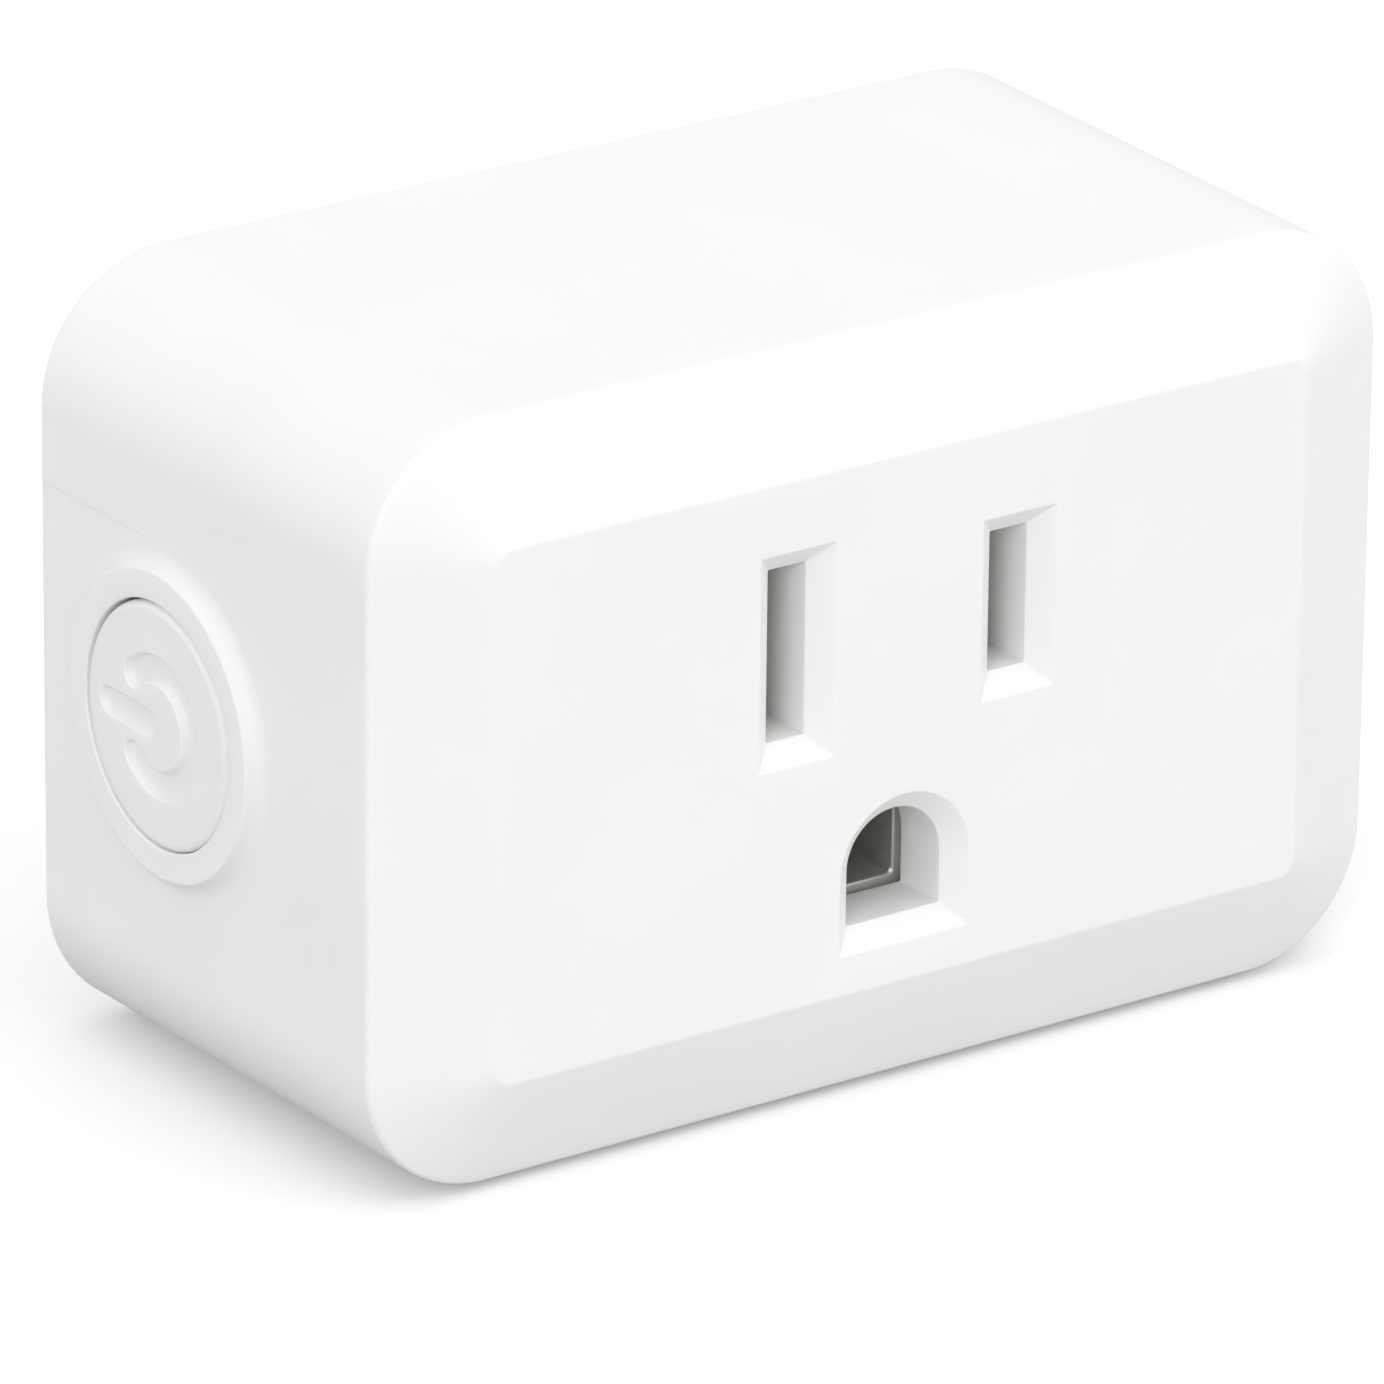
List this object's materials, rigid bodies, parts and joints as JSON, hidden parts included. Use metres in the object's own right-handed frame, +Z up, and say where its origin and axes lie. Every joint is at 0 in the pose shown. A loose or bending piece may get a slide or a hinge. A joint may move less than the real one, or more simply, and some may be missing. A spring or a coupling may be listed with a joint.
{
  "type": "smart plug",
  "caption": "Boxy white wall plug adapter with a bevelled face, a three-pole outlet in front, a round push-button on the side and blades with a round ground pin behind.",
  "frame": {"origin": "point midway between the two flat blades, in the plane that meets the wall outlet", "axes": "+X to the right for someone facing the plug's own outlet, +Y into the wall along the blades, +Z up, with the flat blades above the round ground pin"},
  "size_m": [0.0589, 0.0513, 0.0386],
  "materials": {
    "white_shell": "fine matt moulded plastic, plain white",
    "white_cover": "fine matt moulded plastic, plain white",
    "white_cap": "satin moulded plastic, plain white",
    "nickel": "nickel-plated brass, lightly brushed",
    "brass": "bare spring brass strip",
    "copper": "bare copper strip",
    "steel": "zinc-plated steel",
    "tin": "tin-plated sheet steel",
    "black_plastic": "black moulded resin",
    "carrier_grey": "grey heat-resistant moulded plastic",
    "board_green": "green solder mask on glass-fibre board",
    "board_blue": "blue solder mask on glass-fibre board",
    "relay_blue": "blue moulded plastic",
    "relay_base_blue": "dark blue moulded plastic",
    "winding": "lacquered copper wire wound on a bobbin",
    "sleeve_black": "shrunk plastic sleeve over a metal can",
    "varistor_blue": "dipped resin coat",
    "fuse_green": "cement coat with tinned wires",
    "led_clear": "clear resin lens on a white base"
  },
  "bodies": {
    "housing": {"front_housing": "white_shell", "back_cover": "white_cover", "cover_screw_1": "steel", "cover_screw_2": "steel", "cover_screw_3": "steel", "cover_screw_4": "steel", "line_blade": "nickel", "neutral_blade": "nickel", "ground_pin": "nickel", "line_contact": "brass", "neutral_contact": "brass", "ground_contact": "nickel", "ground_strap": "copper", "contact_carrier": "carrier_grey", "relay_case": "relay_blue", "relay_base": "relay_base_blue", "relay_yoke": "steel", "relay_coil": "winding", "relay_fixed_contact": "copper", "bulk_capacitor": "sleeve_black", "output_capacitor": "sleeve_black", "power_inductor": "black_plastic", "surge_absorber": "varistor_blue", "fuse_resistor": "fuse_green", "bridge_rectifier": "black_plastic", "regulator_chip": "black_plastic", "main_board": "board_green", "neutral_bar": "copper", "line_out_bar": "copper", "line_in_bar": "copper", "switch_base": "black_plastic", "switch_plate": "tin", "status_led": "led_clear", "control_board": "board_green", "board_header": "black_plastic", "radio_board": "board_blue", "radio_shield": "tin"},
    "button": {"button_cap": "white_cap"},
    "plunger": {"switch_plunger": "black_plastic"},
    "armature": {"relay_armature": "steel", "relay_contact_spring": "copper"}
  },
  "joints": [
    {"name": "button_press", "type": "slide", "parent": "housing", "child": "button", "axis": [1, 0, 0], "range_m": [0, 0.0005], "stiffness_N_per_m": 2000, "springref_m": -0.0002},
    {"name": "switch_plunger_press", "type": "slide", "parent": "housing", "child": "plunger", "axis": [1, 0, 0], "range_m": [0, 0.0005]},
    {"name": "relay_armature_tilt", "type": "hinge", "parent": "housing", "child": "armature", "pos_m": [0.01825, -0.02055, -0.01314], "axis": [-1, 0, 0], "range_deg": [0, 2.8], "stiffness_Nm_per_rad": 0.03, "springref_deg": -5.73}
  ],
  "couplings": [
    {"joint": "switch_plunger_press", "follows": "button_press", "ratio": 1}
  ]
}
